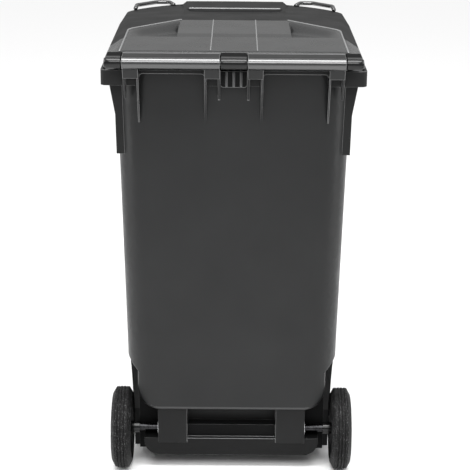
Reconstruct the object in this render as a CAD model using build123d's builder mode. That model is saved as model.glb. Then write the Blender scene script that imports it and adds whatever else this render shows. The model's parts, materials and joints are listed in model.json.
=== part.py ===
"""A 360 litre two-wheeled refuse bin: tub, hinged lid, hinge rods, axle and snap-on wheels.

Millimetres. +Z is up, +Y points from the handles to the front of the bin, X is across it. The origin is on the
floor, under the middle of the bin's outline. The axle, the wheels and the lid's hinge are at the back, at low Y.
"""

from build123d import *
import math
import os

os.makedirs("parts", exist_ok=True)

# ---- overall sizes ----
DEPTH = 880.0  # back of the handles to the front of the lid's finger loops
RIM_HALF_WIDTH = 302.0
RIM_TOP_Z = 1011.0
WALL = 4.5  # moulded wall of the tub
LID_WALL = 3.5
BACK_Y = -DEPTH / 2
FRONT_Y = DEPTH / 2

# ---- handles and lid hinge ----
TUBE_R = 15.0
HINGE_Y = BACK_Y + TUBE_R
HINGE_Z = RIM_TOP_Z + 25.0
TUBE_INNER_X = 31.0
TUBE_OUTER_X = RIM_HALF_WIDTH - 52.5
HOOD_REACH = 45.0  # the flat top of each handle runs this far in front of its tube's axis
HOOD_THICK = 4.0
HOOD_BEAD_R = 3.2
HOOD_BEAD_SETBACK = 7.0
ROD_R = 6.0
KNUCKLE_CLEARANCE = 0.08
KNUCKLE_GAP = 2.0
KNUCKLE_R = TUBE_R - 0.5
OUTER_KNUCKLE_WIDTH = 33.5
ROD_HEAD_R = 11.0
ROD_HEAD_THICK = 3.0
ROD_TIP_X = 4.0

# ---- brackets and webs that carry the handles ----
BRACKET_WIDTH = 35.5
BRACKET_SETBACK = 15.0  # the bracket's back face is this far in front of the hinge axis
BRACKET_DROP = 14.0  # below the rim's top
BRACKET_WALL = 4.5
LONG_WEB_DROP = 126.0
SHORT_WEB_DROP = 72.0
WEB_SETBACK = 20.0

# ---- rim ----
RIM_BACK_Y = HINGE_Y + HOOD_REACH
RIM_FRONT_Y = FRONT_Y - 22.0
RIM_SKIRT_HEIGHT = 36.0
FLANGE_THICK = 5.0
SKIRT_THICK = 4.5
RIM_BACK_R = 14.0
GRIP_CUT_HEIGHT = 27.0  # the back skirt is cut away behind each handle, for fingers
GRIP_CUT_R = 8.0
CENTRE_PANEL_THICK = 6.0
CENTRE_PANEL_HEIGHT = 38.0
CENTRE_RIB_PITCH = 16.5
CENTRE_RIB_WIDTH = 3.0
CENTRE_RIB_DEPTH = 3.0

# ---- tub ----
TUB_HALF_TOP = RIM_HALF_WIDTH - 29.0
TUB_HALF_BOTTOM = TUB_HALF_TOP - 26.5
TUB_BACK_Y = RIM_BACK_Y + 20.0
TUB_FRONT_TOP_Y = RIM_FRONT_Y - 22.0
TUB_FRONT_BOTTOM_Y = RIM_FRONT_Y - 208.0
TUB_BACK_R = 75.0
FRONT_R = 155.0
FRONT_TAPER_LENGTH = 290.0  # the sides draw in over this length before the front corners
FRONT_TAPER = 16.0
FRONT_BOW = 16.0
SIDE_RIB_DROP = 208.0
SIDE_RIB_BEND_DROP = 114.0  # the rib's slant ends this far below the rim's top
SIDE_RIB_WIDTH = 15.0
SIDE_RIB_SETBACK = 30.0  # in front of the tub's back face
SIDE_RIB_REACH = 14.5  # past the tub's side, under the rim
SIDE_RIB_TAIL = 4.0  # past it at the lower end

# ---- wheels and axle ----
WHEEL_R = 100.0
TYRE_WIDTH = 48.0
TREAD_WIDTH = 30.0
SHOULDER_DROP = 15.0
TYRE_BORE_R = WHEEL_R - 24.0
GROOVE_COUNT = 3
GROOVE_PITCH = 7.5
GROOVE_WIDTH = 2.6
GROOVE_DEPTH = 3.0
AXLE_R = 10.0
AXLE_Y = BACK_Y + 130.0
AXLE_Z = WHEEL_R
WHEEL_OUTER_X = RIM_HALF_WIDTH - 9.5
WHEEL_X = WHEEL_OUTER_X - TYRE_WIDTH / 2
AXLE_END_SETBACK = 4.0  # the axle ends this far inside the hub's outer face
AXLE_END_CHAMFER = 1.5
SIDE_GAP = 0.5  # free play along the axle and the hinge rods
RUNNING_CLEARANCE = 0.05
BUSH_R = 13.5
HUB_R = 20.0
HUB_HALF = 20.0
BARREL_HALF = 21.0
BARREL_THICK = 6.0
WEB_HALF = 4.0
SPOKE_COUNT = 6
SPOKE_THICK = 5.0
SPOKE_HALF = 15.0
HUB_CAP_R = 24.0
HUB_CAP_THICK = 3.0
SPACER_R = 14.0
SPACER_LENGTH = 22.0
WASHER_R = 16.0
WASHER_THICK = 1.5

# ---- spring pin that locks each wheel on the axle ----
LOCK_PIN_R = 3.0
LOCK_PIN_LENGTH = 13.4
LOCK_GROOVE_DEPTH = 2.0
LOCK_GROOVE_SIDE_GAP = 0.5
LOCK_TIP_GAP = 0.6
LOCK_SPRING_LENGTH = 12.0
LOCK_SPRING_R = 2.7
LOCK_SPRING_BORE_R = 1.6
LOCK_SPRING_COILS = 6
LOCK_BOSS_R = 7.5

# ---- wheel arches and the back of the base ----
ARCH_TOP_Z = 2 * WHEEL_R + 89.0
ARCH_SLOPE = 26.0  # the top of each arch falls this far towards the waist
ARCH_TOP_FRONT_Y = AXLE_Y + 44.0
ARCH_FRONT_Y = AXLE_Y + WHEEL_R + 10.0
WAIST_HALF = WHEEL_OUTER_X - 64.5  # half width between the wheels
PANEL_BOTTOM_Z = AXLE_Z + 66.0  # lower edge of the back panel, above the axle
PANEL_CORNER_R = 52.0
PANEL_EDGE_R = 12.0  # the panel rolls under along its lower edge
RECESS_Y = AXLE_Y + 18.0  # outer face of the tub in front of the axle
BASE_Z = 36.0
SILL_HALF = WAIST_HALF - 14.0
SILL_TOP_Z = AXLE_Z - 19.0
SILL_BACK_Y = AXLE_Y - 24.0
SILL_CORNER_R = 36.0
HOUSING_OUTER_X = WAIST_HALF - 48.0
HOUSING_INNER_X = HOUSING_OUTER_X - 71.0
HOUSING_BOTTOM_Z = AXLE_Z - 30.0
HOUSING_BACK_Y = AXLE_Y - 26.0
COVER_BACK_Y = AXLE_Y - 12.0
COVER_TOP_Z = AXLE_Z + 13.0
JOIN = 2.0  # how far a rib or a block runs into the wall it stands on

# ---- lid ----
LID_SEAT_GAP = 1.0
LID_EDGE_INSET = 7.0
LID_BACK_Y = RIM_BACK_Y + 4.0
LID_FRONT_Y = RIM_FRONT_Y - 4.0
LID_BACK_R = 14.0
LID_BOTTOM_Z = RIM_TOP_Z + LID_SEAT_GAP
LID_EAVES_Z = LID_BOTTOM_Z + 17.0
LID_FRONT_EAVES_Z = LID_EAVES_Z + 11.0
LID_TOP_Z = LID_BOTTOM_Z + 41.0
RIDGE_HALF = RIM_HALF_WIDTH - 44.0
RIDGE_CORNER_Y = AXLE_Y + 218.0
RIDGE_FRONT_Y = AXLE_Y + 362.0
LID_REAR_PANEL_Y = AXLE_Y + 119.0
LID_STRIP_HALF = 136.0
RIDGE_WIDTH = 10.0
VALLEY_OUTER_DEPTH = 9.0
VALLEY_INNER_DEPTH = 22.0
HUMP_TOP_HALF = 131.0
HUMP_BASE_HALF = 152.0
HUMP_TOP_Z = LID_TOP_Z - 4.0
HUMP_FRONT_Y = LID_FRONT_Y - 26.0
DISH_HALF_LENGTH = 118.0
DISH_HALF_DEPTH = 78.0
DISH_Y = AXLE_Y + 510.0
DISH_SINK = 1.5
LID_RIB_X = 53.0
LID_RIB_WIDTH = 4.0
LID_RIB_HEIGHT = 2.5
ARM_BOTTOM_DROP = 8.0
LOOP_BAR_R = 5.5
LOOP_FILLET_R = 15.0
LOOP_Z = LID_BOTTOM_Z + 26.0
LOOP_POST_SETBACK = 6.0  # from the end of the bar to the post it stands on
LOOP_OUTER_X = RIM_HALF_WIDTH - 35.0
LOOP_CORNER_RUN = 52.0  # the slanting stretch, measured across the bin
LOOP_FRONT_RUN = 35.0
LOOP_REACH = 57.0
LOOP_INNER_LEG_RUN = 13.0
LOOP_INNER_LEG_REACH = 46.0

CUT_RUN = 400.0  # longer than the bin is wide or deep, for cuts that run right out of it


def across(y):
    """The upright plane across the bin at this Y: its local axes are X and Z, and it faces the back."""
    return Plane.XZ.offset(-y)


def along(x):
    """The upright plane along the bin at this X: its local axes are Y and Z."""
    return Plane.YZ.offset(x)


def between(low, high, share):
    """The value that lies this share of the way from low to high."""
    return low + (high - low) * share


def save(part, name):
    """Labels a finished piece and writes it to its own file."""
    part.label = name
    export_step(part, f"parts/{name}.step")


def save_pair(part, name):
    """Writes the right-hand piece, and its mirror image as the left-hand one."""
    save(part, name + "_right")
    save(mirror(part, about=Plane.YZ), name + "_left")


def plan_outline(half, back, front, back_r, front_r):
    """Draws a plan of the bin: straight back and sides, sides that draw in, and a rounded, bowed front."""
    taper_y = front - FRONT_TAPER_LENGTH
    corner = (half - FRONT_TAPER, front - FRONT_BOW)
    far_corner = (-corner[0], corner[1])
    with BuildLine() as outline:
        Polyline(far_corner, (-half, taper_y), (-half, back), (half, back), (half, taper_y), corner)
        ThreePointArc(corner, (0, front), far_corner)
    make_face(outline.edges())
    fillet(vertices().group_by(Axis.Y)[0], back_r)
    fillet(vertices().group_by(Axis.Y)[-1], front_r)


def tub_outline(z, inset):
    """Draws the tub's plan at height z, this far inside its outer face."""
    share = z / RIM_TOP_Z
    half = between(TUB_HALF_BOTTOM, TUB_HALF_TOP, share) - inset
    front = between(TUB_FRONT_BOTTOM_Y, TUB_FRONT_TOP_Y, share) - inset
    plan_outline(half, TUB_BACK_Y + inset, front, TUB_BACK_R - inset, FRONT_R - inset)


def rim_outline(inset):
    """Draws the rim's plan, this far inside its outer face."""
    half = RIM_HALF_WIDTH - inset
    plan_outline(half, RIM_BACK_Y + inset, RIM_FRONT_Y - inset, RIM_BACK_R - inset, FRONT_R - inset)


def hollow_under(grow):
    """Adds, as a solid, the space outside the lower back: wheel arches, axle recess and raised base.

    The same space grown by the wall is what the inside of the tub stays clear of.
    """
    with BuildSketch(across(RECESS_Y + grow)) as behind:
        with Locations((0, (ARCH_TOP_Z + grow) / 2)):
            Rectangle(2 * CUT_RUN, ARCH_TOP_Z + grow)
        with Locations((0, PANEL_BOTTOM_Z + grow)):
            RectangleRounded(
                2 * (WAIST_HALF - grow), 2 * CUT_RUN, PANEL_CORNER_R,
                align=(Align.CENTER, Align.MIN), mode=Mode.SUBTRACT,
            )
    extrude(behind.sketch, amount=CUT_RUN)
    for side in (-1, 1):
        with BuildSketch(along(side * (WAIST_HALF - grow))) as arch:
            with BuildLine():
                top = (ARCH_TOP_FRONT_Y + grow, ARCH_TOP_Z + grow)
                low = (ARCH_FRONT_Y + grow, AXLE_Z)
                Polyline(top, (BACK_Y, top[1]), (BACK_Y, 0), (low[0], 0), low)
                middle = (between(top[0], low[0], 0.82), between(top[1], low[1], 0.45))
                ThreePointArc(low, middle, top)
            make_face()
        extrude(arch.sketch, amount=side * CUT_RUN)
    diagonal = grow * (math.sqrt(2) - 1)
    with BuildSketch(across(ARCH_FRONT_Y + grow)) as arch_slopes:
        for side in (-1, 1):
            with BuildLine():
                Polyline(
                    (side * (WAIST_HALF - grow), ARCH_TOP_Z - ARCH_SLOPE + diagonal),
                    (side * (WAIST_HALF + ARCH_SLOPE - diagonal), ARCH_TOP_Z + grow),
                    (side * (WAIST_HALF - grow), ARCH_TOP_Z + grow), close=True,
                )
            make_face()
    extrude(arch_slopes.sketch, amount=CUT_RUN, mode=Mode.SUBTRACT)
    with BuildSketch(Plane.XY) as below:
        with Locations((0, BACK_Y)):
            Rectangle(2 * CUT_RUN, ARCH_FRONT_Y + grow - BACK_Y, align=(Align.CENTER, Align.MIN))
    extrude(below.sketch, amount=BASE_Z + grow)


# ---- tub ----
with BuildPart() as under_cut:
    hollow_under(0)

with BuildPart() as under_wall:
    hollow_under(WALL)

with BuildPart() as inside:
    with BuildSketch(Plane.XY.offset(WALL)):
        tub_outline(WALL, WALL)
    with BuildSketch(Plane.XY.offset(RIM_TOP_Z)):
        tub_outline(RIM_TOP_Z, WALL)
    loft()
    add(under_wall.part, mode=Mode.SUBTRACT)
    with BuildSketch(across(RECESS_Y + WALL + JOIN)):
        with Locations((0, BASE_Z + WALL)):
            Rectangle(2 * (SILL_HALF - WALL), SILL_TOP_Z - BASE_Z - 2 * WALL, align=(Align.CENTER, Align.MIN))
        fillet(vertices().group_by(Axis.Y)[0], SILL_CORNER_R - WALL)
    extrude(amount=RECESS_Y + JOIN - SILL_BACK_Y)

BRACKET_SPANS = [
    (TUBE_INNER_X, TUBE_INNER_X + BRACKET_WIDTH),
    (TUBE_OUTER_X - BRACKET_WIDTH, TUBE_OUTER_X),
]
GRIP_CUT_SPAN = (BRACKET_SPANS[0][1], BRACKET_SPANS[1][0])
BRACKET_BOTTOM_Z = RIM_TOP_Z - BRACKET_DROP

# one handle with its brackets and webs, on the right
with BuildPart() as handle:
    with BuildSketch(along(TUBE_INNER_X)):
        with Locations((HINGE_Y, HINGE_Z)):
            Circle(TUBE_R)
        with Locations((HINGE_Y, HINGE_Z + TUBE_R)):
            Rectangle(HOOD_REACH, HOOD_THICK, align=(Align.MIN, Align.MAX))
        with Locations((HINGE_Y + HOOD_REACH - HOOD_BEAD_SETBACK, HINGE_Z + TUBE_R - HOOD_THICK / 2)):
            Circle(HOOD_BEAD_R)
    extrude(amount=TUBE_OUTER_X - TUBE_INNER_X)
    for low_x, high_x in BRACKET_SPANS:
        with BuildSketch(along(low_x)):
            with BuildLine():
                Polyline(
                    (HINGE_Y, HINGE_Z), (HINGE_Y + BRACKET_SETBACK, BRACKET_BOTTOM_Z),
                    (RIM_BACK_Y + JOIN, BRACKET_BOTTOM_Z), (RIM_BACK_Y, RIM_TOP_Z),
                    (RIM_BACK_Y, HINGE_Z + TUBE_R - HOOD_THICK), (HINGE_Y, HINGE_Z + TUBE_R - HOOD_THICK),
                    close=True,
                )
            make_face()
        extrude(amount=BRACKET_WIDTH)
        with BuildSketch(Plane.XY.offset(BRACKET_BOTTOM_Z)):
            with Locations(((low_x + high_x) / 2, (HINGE_Y + BRACKET_SETBACK + RIM_BACK_Y) / 2)):
                Rectangle(
                    BRACKET_WIDTH - 2 * BRACKET_WALL,
                    RIM_BACK_Y - HINGE_Y - BRACKET_SETBACK - 2 * BRACKET_WALL,
                )
        extrude(amount=BRACKET_DROP + BRACKET_WALL, mode=Mode.SUBTRACT)
    web_places = [
        (BRACKET_SPANS[0][0], SHORT_WEB_DROP), (BRACKET_SPANS[0][1] - BRACKET_WALL, LONG_WEB_DROP),
        (BRACKET_SPANS[1][0], LONG_WEB_DROP), (BRACKET_SPANS[1][1] - BRACKET_WALL, SHORT_WEB_DROP),
    ]
    for web_x, drop in web_places:
        with BuildSketch(along(web_x)):
            with BuildLine():
                Polyline(
                    (HINGE_Y + WEB_SETBACK, BRACKET_BOTTOM_Z + JOIN), (HINGE_Y + WEB_SETBACK, BRACKET_BOTTOM_Z),
                    (TUB_BACK_Y, RIM_TOP_Z - drop), (TUB_BACK_Y + JOIN, RIM_TOP_Z - drop),
                    (TUB_BACK_Y + JOIN, BRACKET_BOTTOM_Z + JOIN), close=True,
                )
            make_face()
        extrude(amount=BRACKET_WALL)

with BuildPart() as tub:
    with BuildSketch(Plane.XY):
        tub_outline(0, 0)
    with BuildSketch(Plane.XY.offset(RIM_TOP_Z)):
        tub_outline(RIM_TOP_Z, 0)
    loft()
    add(under_cut.part, mode=Mode.SUBTRACT)
    panel_edges = edges().filter_by_position(Axis.Z, PANEL_BOTTOM_Z - JOIN, PANEL_BOTTOM_Z + PANEL_CORNER_R + JOIN)
    fillet(panel_edges.filter_by_position(Axis.Y, TUB_BACK_Y - JOIN, RECESS_Y - JOIN), PANEL_EDGE_R)
    # rim: a flat flange with a skirt that hangs from its edge
    with BuildSketch(Plane.XY.offset(RIM_TOP_Z - FLANGE_THICK)):
        rim_outline(0)
    extrude(amount=FLANGE_THICK)
    with BuildSketch(Plane.XY.offset(RIM_TOP_Z - RIM_SKIRT_HEIGHT)):
        rim_outline(0)
        with BuildSketch(mode=Mode.PRIVATE) as skirt_inside:
            rim_outline(SKIRT_THICK)
        add(skirt_inside.sketch, mode=Mode.SUBTRACT)
    extrude(amount=RIM_SKIRT_HEIGHT)
    for side in (-1, 1):
        with BuildSketch(across(RIM_BACK_Y + SKIRT_THICK)):
            with Locations((side * sum(GRIP_CUT_SPAN) / 2, RIM_TOP_Z - RIM_SKIRT_HEIGHT)):
                RectangleRounded(GRIP_CUT_SPAN[1] - GRIP_CUT_SPAN[0], 2 * GRIP_CUT_HEIGHT, GRIP_CUT_R)
        extrude(amount=SKIRT_THICK, mode=Mode.SUBTRACT)
    # centre panel between the handles, with its upright ribs
    with BuildSketch(across(RIM_BACK_Y)):
        with Locations((0, RIM_TOP_Z)):
            Rectangle(2 * TUBE_INNER_X, CENTRE_PANEL_HEIGHT, align=(Align.CENTER, Align.MAX))
        fillet(vertices().group_by(Axis.Y)[0], GRIP_CUT_R)
    extrude(amount=CENTRE_PANEL_THICK)
    with BuildSketch(across(RIM_BACK_Y - CENTRE_PANEL_THICK)):
        with Locations((0, RIM_TOP_Z - CENTRE_PANEL_HEIGHT / 2)):
            with GridLocations(CENTRE_RIB_PITCH, 1, 3, 1):
                Rectangle(CENTRE_RIB_WIDTH, CENTRE_PANEL_HEIGHT - 2 * CENTRE_RIB_DEPTH)
    extrude(amount=CENTRE_RIB_DEPTH)
    # ribs under the rim at the back corners
    for side in (-1, 1):
        with BuildSketch(across(TUB_BACK_Y + SIDE_RIB_SETBACK + SIDE_RIB_WIDTH)):
            with BuildLine():
                rib_inner = TUB_HALF_TOP - TUB_BACK_R / 2
                drop_share = SIDE_RIB_DROP / RIM_TOP_Z
                rib_end = between(TUB_HALF_TOP, TUB_HALF_BOTTOM, drop_share) + SIDE_RIB_TAIL
                Polyline(
                    (side * rib_inner, RIM_TOP_Z - JOIN), (side * (TUB_HALF_TOP + SIDE_RIB_REACH), RIM_TOP_Z - JOIN),
                    (side * (TUB_HALF_TOP + SIDE_RIB_REACH), RIM_TOP_Z - RIM_SKIRT_HEIGHT),
                    (side * (rib_end + JOIN), RIM_TOP_Z - SIDE_RIB_BEND_DROP),
                    (side * rib_end, RIM_TOP_Z - SIDE_RIB_DROP),
                    (side * rib_inner, RIM_TOP_Z - SIDE_RIB_DROP), close=True,
                )
            make_face()
        extrude(amount=SIDE_RIB_WIDTH)
    add(handle.part)
    add(mirror(handle.part, about=Plane.YZ))
    # sill, axle cover and axle housings on the back of the base
    with BuildSketch(across(RECESS_Y + JOIN)):
        with Locations((0, BASE_Z)):
            Rectangle(2 * SILL_HALF, SILL_TOP_Z - BASE_Z, align=(Align.CENTER, Align.MIN))
        fillet(vertices().group_by(Axis.Y)[0], SILL_CORNER_R)
    extrude(amount=RECESS_Y + JOIN - SILL_BACK_Y)
    with BuildSketch(across(RECESS_Y + JOIN)):
        with Locations((0, SILL_TOP_Z)):
            Rectangle(2 * HOUSING_INNER_X, COVER_TOP_Z - SILL_TOP_Z, align=(Align.CENTER, Align.MIN))
    extrude(amount=RECESS_Y + JOIN - COVER_BACK_Y)
    with BuildSketch(across(RECESS_Y + JOIN)):
        for side in (-1, 1):
            with Locations((side * (HOUSING_INNER_X + HOUSING_OUTER_X) / 2, HOUSING_BOTTOM_Z)):
                Rectangle(
                    HOUSING_OUTER_X - HOUSING_INNER_X, PANEL_BOTTOM_Z + JOIN - HOUSING_BOTTOM_Z,
                    align=(Align.CENTER, Align.MIN),
                )
    extrude(amount=RECESS_Y + JOIN - HOUSING_BACK_Y)
    add(inside.part, mode=Mode.SUBTRACT)
    # bores for the axle and the hinge rods
    with BuildSketch(along(-HOUSING_OUTER_X)):
        with Locations((AXLE_Y, AXLE_Z)):
            Circle(AXLE_R)
    extrude(amount=2 * HOUSING_OUTER_X, mode=Mode.SUBTRACT)
    with BuildSketch(along(-TUBE_OUTER_X)):
        with Locations((HINGE_Y, HINGE_Z)):
            Circle(ROD_R)
    extrude(amount=2 * TUBE_OUTER_X, mode=Mode.SUBTRACT)
save(tub.part, "tub")


def roof(inset):
    """Adds the lid's outline as a solid, cut by its sloping sides, corners and front."""
    eaves = LID_EAVES_Z - inset
    top = LID_TOP_Z - inset
    half = RIM_HALF_WIDTH - LID_EDGE_INSET - inset
    front = LID_FRONT_Y - inset
    with BuildSketch(Plane.XY.offset(LID_BOTTOM_Z)) as plan:
        plan_outline(half, LID_BACK_Y + inset, front, LID_BACK_R - inset, FRONT_R - LID_EDGE_INSET - inset)
    extrude(plan.sketch, amount=top - LID_BOTTOM_Z)
    with BuildSketch(across(LID_FRONT_Y)) as cross_profile:
        with BuildLine():
            Polyline(
                (-half, LID_BOTTOM_Z), (half, LID_BOTTOM_Z), (half, eaves), (RIDGE_HALF, top),
                (-RIDGE_HALF, top), (-half, eaves), close=True,
            )
        make_face()
    extrude(cross_profile.sketch, amount=DEPTH, mode=Mode.INTERSECT)
    with BuildSketch(along(-CUT_RUN)) as long_profile:
        with BuildLine():
            Polyline(
                (LID_BACK_Y, LID_BOTTOM_Z), (front, LID_BOTTOM_Z), (front, LID_FRONT_EAVES_Z - inset),
                (RIDGE_FRONT_Y, top), (LID_BACK_Y, top), close=True,
            )
        make_face()
    extrude(long_profile.sketch, amount=2 * CUT_RUN, mode=Mode.INTERSECT)


def hump(inset):
    """Adds the raised middle of the lid's front."""
    with BuildSketch(across(HUMP_FRONT_Y - inset)) as profile:
        with BuildLine():
            Polyline(
                (inset - HUMP_BASE_HALF, LID_BOTTOM_Z), (HUMP_BASE_HALF - inset, LID_BOTTOM_Z),
                (HUMP_BASE_HALF - inset, LID_EAVES_Z - inset), (HUMP_TOP_HALF - inset, HUMP_TOP_Z - inset),
                (inset - HUMP_TOP_HALF, HUMP_TOP_Z - inset), (inset - HUMP_BASE_HALF, LID_EAVES_Z - inset),
                close=True,
            )
        make_face()
    extrude(profile.sketch, amount=HUMP_FRONT_Y - inset - RIDGE_FRONT_Y)


def valleys(grow):
    """Adds the two sunk fields of the lid as solids, deepest beside the middle strip."""
    inner = LID_STRIP_HALF - grow
    outer = RIDGE_HALF - RIDGE_WIDTH + grow
    back = LID_REAR_PANEL_Y - grow
    with BuildSketch(across(RIDGE_FRONT_Y)) as depths:
        for side in (-1, 1):
            with BuildLine():
                Polyline(
                    (side * inner, LID_TOP_Z + grow), (side * outer, LID_TOP_Z + grow),
                    (side * outer, LID_TOP_Z - VALLEY_OUTER_DEPTH - grow),
                    (side * inner, LID_TOP_Z - VALLEY_INNER_DEPTH - grow), close=True,
                )
            make_face()
    extrude(depths.sketch, amount=RIDGE_FRONT_Y - back)
    with BuildSketch(Plane.XY.offset(LID_BOTTOM_Z)) as plan:
        for side in (-1, 1):
            with BuildLine():
                Polyline(
                    (side * inner, back), (side * outer, back), (side * outer, RIDGE_CORNER_Y - RIDGE_WIDTH + grow),
                    (side * inner, RIDGE_FRONT_Y - 2 * RIDGE_WIDTH + grow), close=True,
                )
            make_face()
    extrude(plan.sketch, amount=CUT_RUN, mode=Mode.INTERSECT)


with BuildPart() as valley_cut:
    valleys(0)

with BuildPart() as valley_wall:
    valleys(LID_WALL)

with BuildPart() as lid_inside:
    roof(LID_WALL)
    hump(LID_WALL)
    add(valley_wall.part, mode=Mode.SUBTRACT)

# one finger loop at the front corner, on the right
loop_y = FRONT_Y - LOOP_BAR_R
loop_corner_x = LOOP_OUTER_X - LOOP_CORNER_RUN
loop_inner_x = loop_corner_x - LOOP_FRONT_RUN
with BuildPart() as finger_loop:
    with BuildLine() as loop_path:
        FilletPolyline(
            (LOOP_OUTER_X, loop_y - 2 * LOOP_REACH, LOOP_Z), (LOOP_OUTER_X, loop_y - LOOP_REACH, LOOP_Z),
            (loop_corner_x, loop_y, LOOP_Z), (loop_inner_x, loop_y, LOOP_Z),
            (loop_inner_x - LOOP_INNER_LEG_RUN, loop_y - LOOP_INNER_LEG_REACH, LOOP_Z),
            radius=LOOP_FILLET_R,
        )
    with BuildSketch(Plane(origin=loop_path.line @ 0, z_dir=loop_path.line % 0)):
        Circle(LOOP_BAR_R)
    sweep()
    with BuildSketch(Plane.XY.offset(LID_BOTTOM_Z + LID_WALL)):
        with Locations(
            (LOOP_OUTER_X, loop_y - 2 * LOOP_REACH + LOOP_POST_SETBACK),
            (loop_inner_x - LOOP_INNER_LEG_RUN, loop_y - LOOP_INNER_LEG_REACH),
        ):
            Circle(LOOP_BAR_R)
    extrude(amount=LOOP_Z - LID_BOTTOM_Z - LID_WALL)
    add(lid_inside.part, mode=Mode.SUBTRACT)

KNUCKLE_SPANS = [
    (KNUCKLE_GAP - TUBE_INNER_X, TUBE_INNER_X - KNUCKLE_GAP),
    (TUBE_OUTER_X + KNUCKLE_GAP, TUBE_OUTER_X + KNUCKLE_GAP + OUTER_KNUCKLE_WIDTH),
    (-TUBE_OUTER_X - KNUCKLE_GAP - OUTER_KNUCKLE_WIDTH, -TUBE_OUTER_X - KNUCKLE_GAP),
]

with BuildPart() as lid:
    roof(0)
    hump(0)
    add(valley_cut.part, mode=Mode.SUBTRACT)
    with BuildSketch(Plane.XY.offset(HUMP_TOP_Z)):
        with Locations((0, DISH_Y)):
            Ellipse(DISH_HALF_LENGTH, DISH_HALF_DEPTH)
    extrude(amount=-DISH_SINK, mode=Mode.SUBTRACT)
    with BuildSketch(Plane.XY.offset(LID_TOP_Z)):
        with Locations((0, LID_BACK_Y)):
            with Locations((-LID_RIB_X, 0), (LID_RIB_X, 0)):
                Rectangle(LID_RIB_WIDTH, RIDGE_FRONT_Y - LID_BACK_Y, align=(Align.CENTER, Align.MIN))
    extrude(amount=LID_RIB_HEIGHT, taper=20)
    add(lid_inside.part, mode=Mode.SUBTRACT)
    for low_x, high_x in KNUCKLE_SPANS:
        with BuildSketch(along(low_x)):
            with Locations((HINGE_Y, HINGE_Z)):
                Circle(KNUCKLE_R)
            with Locations((HINGE_Y, HINGE_Z + KNUCKLE_R)):
                Rectangle(
                    LID_BACK_Y + LID_WALL - HINGE_Y, KNUCKLE_R + ARM_BOTTOM_DROP,
                    align=(Align.MIN, Align.MAX),
                )
        extrude(amount=high_x - low_x)
    add(finger_loop.part)
    add(mirror(finger_loop.part, about=Plane.YZ))
    with BuildSketch(along(-CUT_RUN)):
        with Locations((HINGE_Y, HINGE_Z)):
            Circle(ROD_R + KNUCKLE_CLEARANCE)
    extrude(amount=2 * CUT_RUN, mode=Mode.SUBTRACT)
save(lid.part, "lid")

# ---- hinge rods: a long rod with a flat head on each side ----
ROD_HEAD_X = KNUCKLE_SPANS[1][1] + SIDE_GAP
with BuildPart() as hinge_rod:
    with BuildSketch(along(ROD_TIP_X)):
        with Locations((HINGE_Y, HINGE_Z)):
            Circle(ROD_R)
    extrude(amount=ROD_HEAD_X - ROD_TIP_X)
    with BuildSketch(along(ROD_HEAD_X)):
        with Locations((HINGE_Y, HINGE_Z)):
            Circle(ROD_HEAD_R)
    extrude(amount=ROD_HEAD_THICK)
    chamfer(faces().sort_by(Axis.X)[-1].edges(), ROD_HEAD_THICK / 3)
    chamfer(faces().sort_by(Axis.X)[0].edges(), ROD_R / 6)
save_pair(hinge_rod.part, "hinge_rod")

# ---- axle, with a groove near each end for the wheel's lock pin ----
axle_line = Axis((0, AXLE_Y, AXLE_Z), (1, 0, 0))
AXLE_PROFILE = Plane(origin=(0, AXLE_Y, AXLE_Z), x_dir=(1, 0, 0), z_dir=(0, -1, 0))
AXLE_END_X = WHEEL_X + HUB_HALF - AXLE_END_SETBACK
GROOVE_HALF = LOCK_PIN_R + LOCK_GROOVE_SIDE_GAP
with BuildPart() as axle:
    with BuildSketch(AXLE_PROFILE):
        Rectangle(2 * AXLE_END_X, AXLE_R, align=(Align.CENTER, Align.MIN))
        with Locations((-WHEEL_X, AXLE_R), (WHEEL_X, AXLE_R)):
            Rectangle(2 * GROOVE_HALF, 2 * LOCK_GROOVE_DEPTH, mode=Mode.SUBTRACT)
    revolve(axis=axle_line)
    chamfer(faces().sort_by(Axis.X)[-1].edges() + faces().sort_by(Axis.X)[0].edges(), AXLE_END_CHAMFER)
save(axle.part, "axle")


def ring(low_x, high_x, bore_r, outer_r):
    """Adds a ring about the axle's line."""
    with BuildSketch(AXLE_PROFILE) as section:
        with Locations((low_x, bore_r)):
            Rectangle(high_x - low_x, outer_r - bore_r, align=(Align.MIN, Align.MIN))
    revolve(section.sketch, axis=axle_line)


with BuildPart() as axle_washer:
    ring(HOUSING_OUTER_X, HOUSING_OUTER_X + WASHER_THICK, AXLE_R, WASHER_R)
save_pair(axle_washer.part, "axle_washer")

HUB_INNER_X = WHEEL_X - HUB_HALF
with BuildPart() as spacer:
    ring(HUB_INNER_X - SIDE_GAP - SPACER_LENGTH, HUB_INNER_X - SIDE_GAP, AXLE_R, SPACER_R)
    chamfer(edges().filter_by(GeomType.CIRCLE).sort_by(SortBy.LENGTH)[-2:], SIDE_GAP)
save_pair(spacer.part, "axle_spacer")

# ---- wheel: tyre, plastic wheel centre, bush, hub cap, lock pin and its spring ----
with BuildPart() as tyre:
    with BuildSketch(AXLE_PROFILE):
        half = TYRE_WIDTH / 2
        tread = TREAD_WIDTH / 2
        with BuildLine():
            Polyline(
                (WHEEL_X - half, TYRE_BORE_R), (WHEEL_X - half, WHEEL_R - SHOULDER_DROP), (WHEEL_X - tread, WHEEL_R),
                (WHEEL_X + tread, WHEEL_R), (WHEEL_X + half, WHEEL_R - SHOULDER_DROP), (WHEEL_X + half, TYRE_BORE_R),
                close=True,
            )
        make_face()
        with Locations((WHEEL_X, WHEEL_R)):
            with GridLocations(GROOVE_PITCH, 1, GROOVE_COUNT, 1):
                Rectangle(GROOVE_WIDTH, 2 * GROOVE_DEPTH, mode=Mode.SUBTRACT)
    revolve(axis=axle_line)
save_pair(tyre.part, "tyre")

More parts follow.
